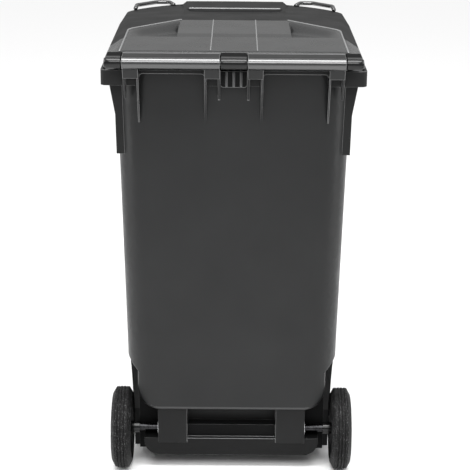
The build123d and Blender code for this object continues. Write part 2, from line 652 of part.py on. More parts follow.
PIN_TIP_Z = AXLE_Z + AXLE_R - LOCK_GROOVE_DEPTH + LOCK_TIP_GAP
PIN_TOP_Z = PIN_TIP_Z + LOCK_PIN_LENGTH
PIN_BORE_R = LOCK_PIN_R + KNUCKLE_CLEARANCE
with BuildPart() as pin_bore:
    with BuildSketch(Plane.XY.offset(AXLE_Z)):
        with Locations((WHEEL_X, AXLE_Y)):
            Circle(PIN_BORE_R)
    extrude(amount=PIN_TOP_Z + LOCK_SPRING_LENGTH - AXLE_Z)

with BuildPart() as wheel_centre:
    ring(WHEEL_X - BARREL_HALF, WHEEL_X + BARREL_HALF, TYRE_BORE_R - BARREL_THICK, TYRE_BORE_R)
    ring(WHEEL_X - WEB_HALF, WHEEL_X + WEB_HALF, BUSH_R, TYRE_BORE_R - JOIN)
    ring(HUB_INNER_X, WHEEL_X + HUB_HALF, BUSH_R, HUB_R)
    spoke_start = HUB_R - JOIN
    with BuildSketch(Plane(origin=(WHEEL_X - SPOKE_HALF, AXLE_Y, AXLE_Z), x_dir=(0, 1, 0), z_dir=(1, 0, 0))):
        with PolarLocations(0, SPOKE_COUNT, start_angle=30):
            with Locations((spoke_start, 0)):
                Rectangle(TYRE_BORE_R - JOIN - spoke_start, SPOKE_THICK, align=(Align.MIN, Align.CENTER))
    extrude(amount=2 * SPOKE_HALF)
    with BuildSketch(Plane.XY.offset(AXLE_Z + HUB_R - JOIN)):
        with Locations((WHEEL_X, AXLE_Y)):
            Circle(LOCK_BOSS_R)
    extrude(amount=TYRE_BORE_R - BARREL_THICK + JOIN - HUB_R + JOIN)
    add(pin_bore.part, mode=Mode.SUBTRACT)
save_pair(wheel_centre.part, "wheel_centre")

with BuildPart() as hub_bush:
    ring(HUB_INNER_X, WHEEL_X + HUB_HALF, AXLE_R + RUNNING_CLEARANCE, BUSH_R)
    add(pin_bore.part, mode=Mode.SUBTRACT)
save_pair(hub_bush.part, "hub_bush")

with BuildPart() as hub_cap:
    cap_x = WHEEL_X + HUB_HALF
    ring(cap_x, cap_x + HUB_CAP_THICK, 0, HUB_CAP_R)
    chamfer(faces().sort_by(Axis.X)[-1].edges(), HUB_CAP_THICK / 2)
save_pair(hub_cap.part, "hub_cap")

with BuildPart() as lock_pin:
    with BuildSketch(Plane.XY.offset(PIN_TIP_Z)):
        with Locations((WHEEL_X, AXLE_Y)):
            Circle(LOCK_PIN_R)
    extrude(amount=LOCK_PIN_LENGTH)
    chamfer(faces().sort_by(Axis.Z)[0].edges(), LOCK_PIN_R / 4)
save_pair(lock_pin.part, "lock_pin")

with BuildPart() as lock_spring:
    coil_pitch = LOCK_SPRING_LENGTH / LOCK_SPRING_COILS
    ripple = (LOCK_SPRING_R - LOCK_SPRING_BORE_R) / 2
    with BuildSketch(Plane(origin=(WHEEL_X, AXLE_Y, PIN_TOP_Z), x_dir=(1, 0, 0), z_dir=(0, -1, 0))):
        with Locations((LOCK_SPRING_BORE_R, 0)):
            Rectangle(ripple, LOCK_SPRING_LENGTH, align=(Align.MIN, Align.MIN))
        for coil in range(LOCK_SPRING_COILS):
            with Locations((LOCK_SPRING_R - ripple, (coil + 0.5) * coil_pitch)):
                Circle(ripple * 0.9)
    revolve(axis=Axis((WHEEL_X, AXLE_Y, 0), (0, 0, 1)))
save_pair(lock_spring.part, "lock_spring")
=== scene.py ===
"""Looks for a two-wheeled refuse bin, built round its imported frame. Metres, +Z up, +Y towards the front."""

import json
import math

import bmesh
import bpy
import numpy as np
from mathutils import Matrix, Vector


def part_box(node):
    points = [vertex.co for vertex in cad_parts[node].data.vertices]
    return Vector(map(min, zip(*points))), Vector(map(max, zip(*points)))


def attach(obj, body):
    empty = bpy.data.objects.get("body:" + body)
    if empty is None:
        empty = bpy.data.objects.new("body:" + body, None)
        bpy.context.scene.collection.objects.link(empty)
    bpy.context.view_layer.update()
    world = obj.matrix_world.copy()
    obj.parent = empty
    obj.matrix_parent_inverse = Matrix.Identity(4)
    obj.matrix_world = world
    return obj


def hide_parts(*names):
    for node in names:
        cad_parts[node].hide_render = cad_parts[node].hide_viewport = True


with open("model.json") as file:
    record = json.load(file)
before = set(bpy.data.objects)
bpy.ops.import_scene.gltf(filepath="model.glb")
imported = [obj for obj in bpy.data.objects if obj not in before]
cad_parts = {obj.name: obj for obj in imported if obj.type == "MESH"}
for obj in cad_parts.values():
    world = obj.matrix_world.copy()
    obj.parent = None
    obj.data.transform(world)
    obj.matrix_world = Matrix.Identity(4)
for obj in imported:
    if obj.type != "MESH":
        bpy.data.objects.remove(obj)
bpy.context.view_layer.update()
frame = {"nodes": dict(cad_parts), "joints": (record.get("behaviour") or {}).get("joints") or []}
nodes = frame["nodes"]
joint_at = {joint["name"]: joint.get("pos_m") for joint in frame["joints"]}

# ----------------------------------------------------------------------------------------------------------
# Tub. One big injection moulding in dark grey polyethylene: body, rim, both handles with their brackets,
# and the axle housings. Its edges are rounded as the mould leaves them, and its faces have a faint grain
# and dull scuffs. A pale material on the rounded edges paints their highlight; darker materials paint the
# shade under the rim, on the side ribs and handles' tops, in the pockets and low down; a lighter one paints
# light on the arches' forward walls and along the panel's lower edge.
# ----------------------------------------------------------------------------------------------------------


def new_material(name):
    """A node material with a plain Principled shader, given back with its nodes, its links and the shader."""
    material = bpy.data.materials.new(name)
    material.use_nodes = True
    shader = material.node_tree.nodes["Principled BSDF"]
    return material, material.node_tree.nodes, material.node_tree.links, shader


def noise(tree_nodes, links, scale, detail, source):
    """A noise pattern on the piece's own coordinates; scale is in features per metre."""
    texture = tree_nodes.new("ShaderNodeTexNoise")
    texture.inputs["Scale"].default_value = scale
    texture.inputs["Detail"].default_value = detail
    links.new(source, texture.inputs["Vector"])
    return texture.outputs["Fac"]


def ramp(tree_nodes, links, source, low, high, low_value, high_value):
    """Maps a pattern's values from low..high to low_value..high_value."""
    mapper = tree_nodes.new("ShaderNodeMapRange")
    mapper.inputs["From Min"].default_value = low
    mapper.inputs["From Max"].default_value = high
    mapper.inputs["To Min"].default_value = low_value
    mapper.inputs["To Max"].default_value = high_value
    links.new(source, mapper.inputs["Value"])
    return mapper.outputs["Result"]


def moulded_plastic(name, dark, light, smooth, rough, grain_depth, shine):
    """Polyethylene: two close greys in soft clouds, uneven polish, a fine mould grain and dull scuffs."""
    material, tree_nodes, links, shader = new_material(name)
    place = tree_nodes.new("ShaderNodeTexCoord").outputs["Object"]
    clouds = noise(tree_nodes, links, 5.0, 5.0, place)
    specks = noise(tree_nodes, links, 700.0, 2.0, place)
    scuffs = noise(tree_nodes, links, 14.0, 6.0, place)
    colour = tree_nodes.new("ShaderNodeMix")
    colour.data_type = "RGBA"
    colour.inputs["A"].default_value = (*dark, 1)
    colour.inputs["B"].default_value = (*light, 1)
    links.new(ramp(tree_nodes, links, clouds, 0.3, 0.7, 0.0, 1.0), colour.inputs["Factor"])
    links.new(colour.outputs["Result"], shader.inputs["Base Color"])
    links.new(ramp(tree_nodes, links, scuffs, 0.35, 0.75, smooth, rough), shader.inputs["Roughness"])
    bump = tree_nodes.new("ShaderNodeBump")
    bump.inputs["Strength"].default_value = 0.2
    bump.inputs["Distance"].default_value = grain_depth
    links.new(specks, bump.inputs["Height"])
    links.new(bump.outputs["Normal"], shader.inputs["Normal"])
    shader.inputs["Specular IOR Level"].default_value = shine
    return material


SHARP_ANGLE = math.radians(32)
MERGE_DISTANCE = 1e-5


def rounded_copy(node, piece_name, material, radius, edge_highlight_material=None, edge_share=None):
    """A copy of a CAD node with its doubles merged, its flat faces joined and its edges rounded to this
    radius, or to the share of it that edge_share gives at the edge's middle; the rounded edges can have
    their own material, which on the tub is a painted highlight."""
    mesh = nodes[node].data.copy()
    mesh.name = piece_name
    piece = bpy.data.objects.new(piece_name, mesh)
    bpy.context.scene.collection.objects.link(piece)
    shape = bmesh.new()
    shape.from_mesh(mesh)
    bmesh.ops.remove_doubles(shape, verts=shape.verts, dist=MERGE_DISTANCE)
    bmesh.ops.dissolve_limit(
        shape, angle_limit=math.radians(0.6), verts=shape.verts, edges=shape.edges, delimit={"NORMAL"},
    )
    weight = shape.edges.layers.float.new("bevel_weight_edge")
    for edge in shape.edges:
        sharp = edge.calc_face_angle(0) > SHARP_ANGLE
        middle = (edge.verts[0].co + edge.verts[1].co) / 2
        edge[weight] = (edge_share(*middle) if edge_share else 1) if sharp else 0
    shape.to_mesh(mesh)
    shape.free()
    mesh.materials.clear()
    mesh.materials.append(material)
    mesh.shade_smooth()
    mesh.set_sharp_from_angle(angle=SHARP_ANGLE)
    bevel = piece.modifiers.new("moulded edges", "BEVEL")
    bevel.width = radius
    bevel.segments = 2
    bevel.limit_method = "WEIGHT"
    bevel.use_clamp_overlap = False
    # the bevel's faces can take a second material; on the tub it is a pale one that paints a highlight along
    # the edges
    if edge_highlight_material:
        mesh.materials.append(edge_highlight_material)
        bevel.material = 1
    normals = piece.modifiers.new("flat faces stay flat", "WEIGHTED_NORMAL")
    normals.keep_sharp = False
    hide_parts(node)
    return piece


tub_plastic = moulded_plastic(
    "dark moulded polyethylene", (0.0062, 0.0065, 0.0067), (0.0088, 0.0092, 0.0094),
    0.34, 0.44, 0.00003, shine=0.24)
grip_plastic = moulded_plastic(
    "hand-polished grips", (0.0045, 0.0047, 0.0049), (0.0065, 0.0068, 0.0070),
    0.17, 0.22, 0.000006, shine=1.0)
# grain with painted shade: darker than the body, for the rim's skirts, the side ribs, the handles' tops and
# the parts below the panel, where shade falls
grained_shaded_plastic = moulded_plastic(
    "grained polyethylene with painted shade", (0.0048, 0.0050, 0.0051), (0.0070, 0.0072, 0.0073),
    0.5, 0.6, 0.00006, shine=0.2)
# painted shade: nearly black, for the centre panel behind the handles, the axle pocket and the hollows beside
# the housings
pocket_shade_plastic = moulded_plastic(
    "painted pocket shade", (0.0030, 0.0031, 0.0032), (0.0045, 0.0046, 0.0047),
    0.6, 0.7, 0.00006, shine=0.08)
# painted highlight: a pale, glossy grey for the bevels along the tub's edges, standing in for the light they
# catch
edge_highlight_plastic = moulded_plastic(
    "painted edge highlights", (0.045, 0.0458, 0.0463), (0.065, 0.0658, 0.0664),
    0.26, 0.36, 0.00001, shine=0.9)
# painted light: a lighter grey for the arches' forward walls, which lie in shade behind the wheels, and a
# painted highlight along the panel's lower edge
arch_light_plastic = moulded_plastic(
    "painted arch and panel-edge light", (0.0200, 0.0204, 0.0207), (0.0280, 0.0285, 0.0288),
    0.3, 0.4, 0.00003, shine=0.4)
# painted shade: a darker grey for the sill under the axle pocket
sill_shade_plastic = moulded_plastic(
    "sill", (0.0038, 0.0039, 0.0040), (0.0056, 0.0057, 0.0058),
    0.45, 0.55, 0.00005, shine=0.14)
hinge_y, hinge_z = joint_at["lid_hinge"][1:]
axle_y, axle_z = joint_at["wheel_spin_right"][1:]
EDGE_R = 0.0012
# Where the tub's finishes, its painted shade and light, and its edges change, in metres: half widths, and
# heights and depths from the hinge's and the axle's lines.
rim_back_y = hinge_y + 0.045
rim_bottom_z = hinge_z - 0.061
grip_bottom_z = hinge_z - 0.016
skirt_y = rim_back_y + 0.0045  # a narrow wall under the lid's back edge
SKIRT_HALF = 0.26
skirt_bottom_z = hinge_z - 0.050
skirt_top_z = hinge_z - 0.030
CENTRE_PANEL_HALF = 0.032
SIDE_RIB_X = 0.255
SIDE_RIB_FACE_X = 0.262
side_rib_bottom_z = hinge_z - 0.240
arch_shoulder_z = axle_z + 0.140
arch_top_z = axle_z + 0.260
ARCH_WALL_X = 0.205
panel_bottom_z = axle_z + 0.064
HOUSING_INNER_X = 0.110
POCKET_HALF = 0.109
SILL_DEPTH = 0.020  # the sill, pocket and housings end this far in front of the axle's line
sill_top_z = axle_z - 0.030


def tub_edge_share(x, y, z):
    """The share of the full edge radius, which is also the width of the painted edge highlight: all of it on
    the rim, the handles and the arches' tops, less on the ribs and low down, and none on the thin skirt
    hidden under the lid."""
    side = abs(x)
    if skirt_bottom_z < z < skirt_top_z and abs(y - skirt_y) < 0.004 and side < SKIRT_HALF:
        return 0.0
    if hinge_z - 0.08 < z < skirt_bottom_z and y > rim_back_y - 0.004:
        return 0.25
    if hinge_z - 0.3 < z < rim_bottom_z - 0.005 and side > SIDE_RIB_X:
        return 0.35
    if z > arch_shoulder_z:
        return 1.0
    if abs(side - HOUSING_INNER_X) < 0.004:
        return 0.7
    if side < POCKET_HALF and z > axle_z - 0.014:
        return 0.2
    return 1.0 if side < POCKET_HALF and y < axle_y + 0.01 else 0.15


PLAIN, GRIP, GRAINED_SHADE, POCKET_SHADE, ARCH_LIGHT, SILL_SHADE = 0, 2, 3, 4, 5, 6  # material slots: plain, grip, grain with painted shade, painted pocket shade, painted arch light, painted sill shade; slot 1 holds the painted edge highlight


def tub_finish(place, normal):
    """Material slot for the tub face with this middle and normal, painted shade and light included."""
    x, y, z = place
    side = abs(x)
    behind_rim = y < rim_back_y - 0.002
    if behind_rim and z > grip_bottom_z:
        return GRAINED_SHADE if normal.z > 0.9 else GRIP
    if behind_rim and side < CENTRE_PANEL_HALF and z > rim_bottom_z - 0.004:
        return POCKET_SHADE if y > rim_back_y - 0.007 or abs(normal.x) > 0.7 else PLAIN
    if z > rim_bottom_z - 0.001 and not behind_rim or side > SIDE_RIB_FACE_X and z > side_rib_bottom_z:
        return GRAINED_SHADE
    if axle_z - 0.018 < z < axle_z + 0.012 and side < 0.108 and y < axle_y + SILL_DEPTH:
        return POCKET_SHADE
    if z < arch_top_z and side > ARCH_WALL_X and y > axle_y + 0.03 and normal.y < -0.3:
        return ARCH_LIGHT
    if z < axle_z + 0.12 and 0.13 < side < 0.235 and axle_y - 0.005 < y < axle_y + 0.12:
        return POCKET_SHADE
    if z < sill_top_z and side < POCKET_HALF and y < axle_y + SILL_DEPTH:
        return SILL_SHADE
    # a painted highlight along the panel's lower edge, in the arch walls' lighter grey
    on_panel_edge = panel_bottom_z + 0.0025 < z < panel_bottom_z + 0.018 and y < axle_y
    if on_panel_edge and -0.75 < normal.z < -0.15:
        return ARCH_LIGHT
    return GRAINED_SHADE if z < panel_bottom_z and y < axle_y + SILL_DEPTH else PLAIN


tub_piece = rounded_copy(
    "tub", "tub_moulding", tub_plastic, EDGE_R, edge_highlight_material=edge_highlight_plastic, edge_share=tub_edge_share)
for material in (grip_plastic, grained_shaded_plastic, pocket_shade_plastic, arch_light_plastic, sill_shade_plastic):
    tub_piece.data.materials.append(material)
for face in tub_piece.data.polygons:
    face.material_index = tub_finish(face.center, face.normal)
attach(tub_piece, "tub")

# ----------------------------------------------------------------------------------------------------------
# Lid. A separate moulding in the same plastic. Its rear panel and middle strip are polished, with thin
# raised lines, two sunk fields beside the strip, and a grained front that falls to its edge round a raised,
# dished middle. The raised lines are a pale grey that paints their highlight.
# ----------------------------------------------------------------------------------------------------------
MM = 0.001
lid_low, lid_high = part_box("lid")
lid_bottom = lid_low.z
lid_half = 295 * MM
lid_back = hinge_y + 49 * MM
lid_front = lid_high.y - 26 * MM
lid_eaves = lid_bottom + 17 * MM
lid_top = lid_bottom + 41 * MM
LID_THICK = 3.5 * MM
FRONT_RISE = 11 * MM
LID_TAPER = 16 * MM
LID_TAPER_LENGTH = 290 * MM
LID_BOW = 16 * MM
LID_BACK_R = 14 * MM
LID_FRONT_R = 148 * MM
ridge_half = 258 * MM
ridge_corner_y = axle_y + 218 * MM
ridge_inner = 134 * MM
ridge_front_y = axle_y + 362 * MM
panel_front_y = axle_y + 119 * MM
strip_step_y = axle_y + 167 * MM
STRIP_HALF = 136 * MM
HUMP_HALF_TOP = 131 * MM
HUMP_HALF_BASE = 152 * MM
hump_front_y = lid_front - 26 * MM
dish_far_y = axle_y + 563 * MM
RIB_X = 53 * MM
SIDE_SLOPE = 0.66
FRONT_SLOPE = 0.042
CORNER_SLOPE = 0.072
PANEL_CROWN = 0.6 * MM
STRIP_DROP = 6 * MM
FIELD_OUTER_DEPTH = 11 * MM
FIELD_EXTRA_DEPTH = 11 * MM
FIELD_OUTER_X = 248 * MM
hump_top = lid_top - 3.5 * MM
HUMP_SIDE_SLOPE = 0.95
HUMP_FRONT_SLOPE = 0.8
DISH_BACK = 22 * MM
DISH_BOW = 110 * MM
DISH_DEPTH = 6.5 * MM
BACK_ROUND = 8 * MM
BACK_DROP = 5 * MM


def grid_mesh(name, points, closed_rows=False, closed_columns=False):
    """A mesh of quads over a rows x columns x 3 array of points; either direction can join end to start."""
    rows, columns = points.shape[:2]
    index = np.arange(rows * columns).reshape(rows, columns)
    if closed_rows:
        index = np.vstack([index, index[:1]])
    if closed_columns:
        index = np.hstack([index, index[:, :1]])
    quads = np.stack([index[:-1, :-1], index[:-1, 1:], index[1:, 1:], index[1:, :-1]], -1).reshape(-1, 4)
    mesh = bpy.data.meshes.new(name)
    mesh.from_pydata(points.reshape(-1, 3).tolist(), [], quads.tolist())
    mesh.update()
    return mesh


def add_piece(name, mesh, material, body):
    """Puts a mesh in the scene as one piece of the bin that moves with this body."""
    piece = bpy.data.objects.new(name, mesh)
    bpy.context.scene.collection.objects.link(piece)
    mesh.materials.append(material)
    mesh.shade_smooth()
    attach(piece, body)
    return piece


def ease(low, high, value):
    """0 below low, 1 above high, and a smooth S between them."""
    share = np.clip((value - low) / (high - low), 0, 1)
    return share * share * (3 - 2 * share)


def soft_min(first, second, radius):
    """The lower of two surfaces, blended within this height of where they cross."""
    share = np.clip(0.5 + 0.5 * (second - first) / radius, 0, 1)
    return second + (first - second) * share - radius * share * (1 - share)


def lid_half_width(y):
    """Half the lid's width at y: an arc at the back corner, a straight side, a taper, and an arc at the
    front."""
    taper_start = lid_front - LID_TAPER_LENGTH
    width = lid_half - LID_TAPER * np.clip((y - taper_start) / (LID_TAPER_LENGTH - LID_BOW), 0, 1)
    back_gap = np.clip(lid_back + LID_BACK_R - y, 0, LID_BACK_R)
    width = width - LID_BACK_R + np.sqrt(LID_BACK_R ** 2 - back_gap ** 2)
    arc_y = lid_front - LID_FRONT_R
    arc_x = lid_half - LID_TAPER * (arc_y - taper_start) / (LID_TAPER_LENGTH - LID_BOW) - LID_FRONT_R
    arc = arc_x + np.sqrt(np.clip(LID_FRONT_R ** 2 - np.clip(y - arc_y, 0, None) ** 2, 0, None))
    return np.where(y > arc_y, arc, width)


def ridge_distance(x, y):
    """Signed distance outside the slanting ridge, which runs from the side line to the front of the strip."""
    run = np.array([ridge_inner - ridge_half, ridge_front_y - ridge_corner_y])
    run = run / np.hypot(*run)
    return (np.abs(x) - ridge_half) * run[1] - (y - ridge_corner_y) * run[0]


def lid_height(x, y):
    """Height of the lid's upper face: the lowest of its top, side slope, front slope and corner slope,
    blended; less the sunk fields; the hump added over it; less the hump's dish."""
    side = np.abs(x)
    outside = ridge_distance(x, y)
    height = soft_min(np.full_like(x, lid_top), lid_eaves + (lid_half - side) * SIDE_SLOPE, 9 * MM)
    height = soft_min(height, lid_eaves + FRONT_RISE + (lid_front - y) * FRONT_SLOPE, 3 * MM)
    height = soft_min(height, lid_top + 1.0 * MM - outside * CORNER_SLOPE, 1.5 * MM)
    panel = 1 - ease(panel_front_y - 1.5 * MM, panel_front_y + 1.5 * MM, y)
    height = height + PANEL_CROWN * panel * (1 - (side / lid_half) ** 4)
    ahead_of_panel = np.clip((strip_step_y - y) / (strip_step_y - panel_front_y), 0, 1) * (1 - panel)
    height = height - STRIP_DROP * ahead_of_panel * (side < STRIP_HALF)
    field = ease(STRIP_HALF, STRIP_HALF + 4 * MM, side) * ease(6 * MM, 40 * MM, ridge_half - side)
    field = field * ease(panel_front_y, panel_front_y + 3 * MM, y) * ease(5 * MM, 42 * MM, -outside)
    inward = np.clip((FIELD_OUTER_X - side) / (FIELD_OUTER_X - STRIP_HALF), 0, 1)
    sink = FIELD_OUTER_DEPTH + FIELD_EXTRA_DEPTH * inward
    height = height - sink * field
    hump = hump_top - np.clip(side - HUMP_HALF_TOP, 0, None) * HUMP_SIDE_SLOPE
    hump = soft_min(hump, hump_top - (y - hump_front_y) * HUMP_FRONT_SLOPE, 4 * MM)
    on_hump = ease(ridge_front_y - 3 * MM, ridge_front_y + 6 * MM, y)
    raised = height + (hump - height) * on_hump * (hump > height)
    height = np.where(y > ridge_front_y - 3 * MM, np.maximum(height, raised), height)
    dish_near_y = ridge_front_y + DISH_BACK + DISH_BOW * (x / HUMP_HALF_TOP) ** 4
    dish_share = np.clip((y - dish_near_y) / (dish_far_y - dish_near_y), 0, 1) ** 1.5
    dish_wall = 1 - ease(dish_far_y - 7 * MM, dish_far_y, y)
    inside_dish = ease(-HUMP_HALF_TOP + 2 * MM, -HUMP_HALF_TOP + 14 * MM, -side) * (y > dish_near_y)
    height = height - DISH_DEPTH * dish_share * dish_wall * inside_dish
    return height - BACK_DROP * (1 - ease(0, BACK_ROUND, y - lid_back)) ** 2


def bunched(stops, spacing, fine, reach):
    """Grid lines from the first stop to the last: this far apart, and closer within reach of each stop
    between."""
    lines = [np.arange(stops[0], stops[-1], spacing), [stops[-1]]]
    lines += [np.arange(stop - reach, stop + reach, fine) for stop in stops[1:-1]]
    lines = np.unique(np.concatenate(lines))
    keep = np.concatenate([[True], np.diff(lines) > 0.4 * fine])
    return lines[keep & (lines >= stops[0]) & (lines <= stops[-1])]


LINE_LIMIT = 267 * MM
columns = bunched(
    np.array([0, HUMP_HALF_TOP, STRIP_HALF + 1.5 * MM, HUMP_HALF_BASE, FIELD_OUTER_X, ridge_half,
              LINE_LIMIT]),
    7 * MM, 1.1 * MM, 3.5 * MM)
rows = bunched(
    np.array([lid_back + BACK_ROUND, panel_front_y, strip_step_y, ridge_corner_y, ridge_front_y, dish_far_y,
              hump_front_y, lid_front - 12 * MM]),
    4.5 * MM, 1.0 * MM, 5 * MM)
corner_rows = lid_front - LID_FRONT_R * (1 - np.sin(np.linspace(0, math.pi / 2, 60)[1:]))
rows = np.unique(np.concatenate([rows, corner_rows]))
rows = rows[np.concatenate([[True], np.diff(rows) > 0.02 * MM])]
back_rows = lid_back + BACK_ROUND * (1 - np.cos(np.linspace(0, math.pi / 2, 7)))[:-1]
rows = np.concatenate([back_rows, rows])
half_width = lid_half_width(rows)[:, None]
squeeze = np.minimum(1, (half_width - 9 * MM) / LINE_LIMIT)
band = np.linspace(0, 1, 9)[None, 1:]
line_x = LINE_LIMIT * squeeze
right_x = np.hstack([columns[None, :] * squeeze, line_x + band * (half_width - line_x)])
top_x = np.hstack([-right_x[:, :0:-1], right_x])
row_y = np.repeat(rows[:, None], top_x.shape[1], 1)
top_y = row_y - LID_BOW * (top_x / (lid_half - LID_TAPER)) ** 2 * ease(lid_front - 200 * MM, lid_front, row_y)
top_z = lid_height(top_x, row_y)
surface = np.stack([top_x, top_y, top_z], -1)
SKIRT_STEP = 0.5 * MM
edge_centre = np.array([0, (lid_back + lid_front) / 2])
for drop in (1.5 * MM, 4 * MM, None):
    surface = np.concatenate([surface[:1], surface, surface[-1:]], 0)
    surface = np.concatenate([surface[:, :1], surface, surface[:, -1:]], 1)
    for ring in (surface[0], surface[-1], surface[:, 0], surface[:, -1]):
        flat = ring[:, :2] - edge_centre
        ring[:, :2] = edge_centre + flat * (1 + SKIRT_STEP / np.linalg.norm(flat, axis=1, keepdims=True))
        ring[:, 2] = lid_bottom if drop is None else np.maximum(ring[:, 2] - drop, lid_bottom + 1 * MM)
lid_mesh = grid_mesh("lid_panel", surface)
lid_plastic = moulded_plastic(
    "polished lid plastic", (0.0080, 0.0083, 0.0085), (0.0105, 0.0109, 0.0111),
    0.24, 0.3, 0.000003, shine=0.3)
lid_grain = moulded_plastic(
    "grained lid plastic", (0.0040, 0.0041, 0.0042), (0.0060, 0.0062, 0.0063),
    0.5, 0.6, 0.00005, shine=0.12)
lid_panel = add_piece("lid_panel", lid_mesh, lid_plastic, "lid")
lid_mesh.materials.append(lid_grain)
middle_x, middle_y = np.moveaxis((surface[:-1, :-1, :2] + surface[1:, 1:, :2]) / 2, -1, 0)
outer_field = (ridge_distance(middle_x, middle_y) > 0) | (np.abs(middle_x) > ridge_half)
outer_field = (outer_field | (middle_y > ridge_front_y)) & (middle_y > panel_front_y)
lid_mesh.polygons.foreach_set("material_index", outer_field.astype(np.int32).ravel())
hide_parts("lid")
shape = bmesh.new()  # the doubled points at the corners are merged before the panel gets its wall
shape.from_mesh(lid_mesh)
bmesh.ops.remove_doubles(shape, verts=shape.verts, dist=MERGE_DISTANCE)
bmesh.ops.dissolve_degenerate(shape, edges=shape.edges, dist=MERGE_DISTANCE)
shape.to_mesh(lid_mesh)
shape.free()
wall = lid_panel.modifiers.new("wall", "SOLIDIFY")
wall.thickness = LID_THICK
wall.offset = -1


def close_ends(mesh):
    """Fills the open ends of a tube, and turns every face outwards."""
    shape = bmesh.new()
    shape.from_mesh(mesh)
    bmesh.ops.holes_fill(shape, edges=[edge for edge in shape.edges if edge.is_boundary])
    bmesh.ops.recalc_face_normals(shape, faces=shape.faces)
    shape.to_mesh(mesh)
    shape.free()


BEAD_LIFT = 0.2  # how far a bead's centre stands above the lid, as a share of its radius


def bead(name, route, radius):
    """A round bead carried along a route of (x, y) on the lid: its centre follows the lid's surface, and its
    section is (across, up) = radius (cos t, sin t)."""
    steps = np.linalg.norm(np.diff(route, axis=0), axis=1)
    lengths = np.concatenate([[0], np.cumsum(steps)])
    places = np.unique(np.concatenate([np.arange(0, lengths[-1], 3 * MM), lengths]))
    line = np.stack([np.interp(places, lengths, route[:, axis]) for axis in (0, 1)], 1)
    ahead = np.gradient(line, axis=0)
    ahead /= np.linalg.norm(ahead, axis=1, keepdims=True)
    turn = np.linspace(0, 2 * math.pi, 10, endpoint=False)
    across = np.column_stack([ahead[:, 1], -ahead[:, 0]])
    flat = line[:, None, :] + across[:, None, :] * radius * np.cos(turn)[:, None]
    rise = lid_height(line[:, 0], line[:, 1])[:, None] + radius * (np.sin(turn) + BEAD_LIFT)[None, :]
    mesh = grid_mesh(name, np.concatenate([flat, rise[..., None]], -1), closed_columns=True)
    close_ends(mesh)
    return add_piece(name, mesh, ridge_highlight_plastic, "lid")


# Raised lines: one on each side of the polished part, two along the middle, and the lip of the dish. Their
# pale grey is a painted highlight.
ridge_highlight_plastic = moulded_plastic(
    "painted ridge highlights", (0.110, 0.1115, 0.1120), (0.140, 0.1415, 0.1420),
    0.3, 0.4, 0.00001, shine=1.0)
for side, place in ((-1, "left"), (1, "right")):
    ridge_route = np.array([
        [ridge_half, lid_back + 6 * MM], [ridge_half, ridge_corner_y], [ridge_inner, ridge_front_y]])
    bead(f"lid_ridge_{place}", ridge_route * [side, 1], 2.1 * MM)
    rib_route = np.array([[RIB_X, lid_back + 14 * MM], [RIB_X, ridge_front_y]])
    bead(f"lid_rib_{place}", rib_route * [side, 1], 1.5 * MM)
lip_x = np.linspace(-121 * MM, 121 * MM, 40)
bead("lid_dish_lip", np.column_stack([lip_x, np.full_like(lip_x, dish_far_y + 1 * MM)]), 2.4 * MM)

# Hinge knuckles: two outer barrels and a middle one, each on a flat arm that grows out of the lid's back
# edge.
KNUCKLE_R = 14.5 * MM
ROD_BORE_R = 6.08 * MM
ARM_DROP = 8 * MM
KNUCKLE_SPANS = [(-285 * MM, -251.5 * MM), (-29 * MM, 29 * MM), (251.5 * MM, 285 * MM)]
KNUCKLE_ROUND = 1.2 * MM


def resampled(outline, count):
    """The same closed outline with this many points, evenly spaced along it."""
    closed = np.vstack([outline, outline[:1]])
    lengths = np.concatenate([[0], np.cumsum(np.linalg.norm(np.diff(closed, axis=0), axis=1))])
    places = np.linspace(0, lengths[-1], count, endpoint=False)
    return np.stack([np.interp(places, lengths, closed[:, axis]) for axis in (0, 1)], 1)


def knuckle(span):
    """Rings along X: bore, rounded end face, barrel-and-arm outline, rounded end face, bore, closed on
    itself."""
    start, stop = span
    turn = np.linspace(math.pi / 2, 2 * math.pi - math.asin(ARM_DROP / KNUCKLE_R), 60)
    barrel = KNUCKLE_R * np.stack([np.cos(turn), np.sin(turn)], 1)
    arm_end = lid_back + 2 * LID_THICK / 3 - hinge_y
    outline = resampled(np.vstack([barrel, [[arm_end, -ARM_DROP], [arm_end, KNUCKLE_R]]]), 120)
    around = np.arctan2(outline[:, 1], outline[:, 0])
    bore = ROD_BORE_R * np.stack([np.cos(around), np.sin(around)], 1)
    inset = outline * (1 - KNUCKLE_ROUND / np.linalg.norm(outline, axis=1, keepdims=True))
    shoulder = (outline + inset) / 2 + (outline - inset) * 0.21
    rings = [(bore, start), (inset, start), (shoulder, start + 0.3 * KNUCKLE_ROUND),
             (outline, start + KNUCKLE_ROUND), (outline, stop - KNUCKLE_ROUND),
             (shoulder, stop - 0.3 * KNUCKLE_ROUND), (inset, stop), (bore, stop)]
    return np.array([
        np.column_stack([np.full(len(ring), x), ring[:, 0] + hinge_y, ring[:, 1] + hinge_z])
        for ring, x in rings
    ])


glossy_plastic = moulded_plastic(
    "polished hinge plastic", (0.0020, 0.0021, 0.0022), (0.0035, 0.0036, 0.0037),
    0.12, 0.16, 0.000003, shine=0.3)
arm_plastic = moulded_plastic(
    "hinge arms", (0.0045, 0.0046, 0.0047), (0.0060, 0.0061, 0.0062),
    0.6, 0.7, 0.00005, shine=0.02)
for place, span in zip(("left", "middle", "right"), KNUCKLE_SPANS):
    mesh = grid_mesh(f"lid_knuckle_{place}", knuckle(span), closed_rows=True, closed_columns=True)
    mesh.flip_normals()
    add_piece(f"lid_knuckle_{place}", mesh, glossy_plastic, "lid")
    mesh.set_sharp_from_angle(angle=math.radians(40))
    mesh.materials.append(arm_plastic)
    for face in mesh.polygons:
        face.material_index = int(face.center.y > hinge_y + 3 * MM)

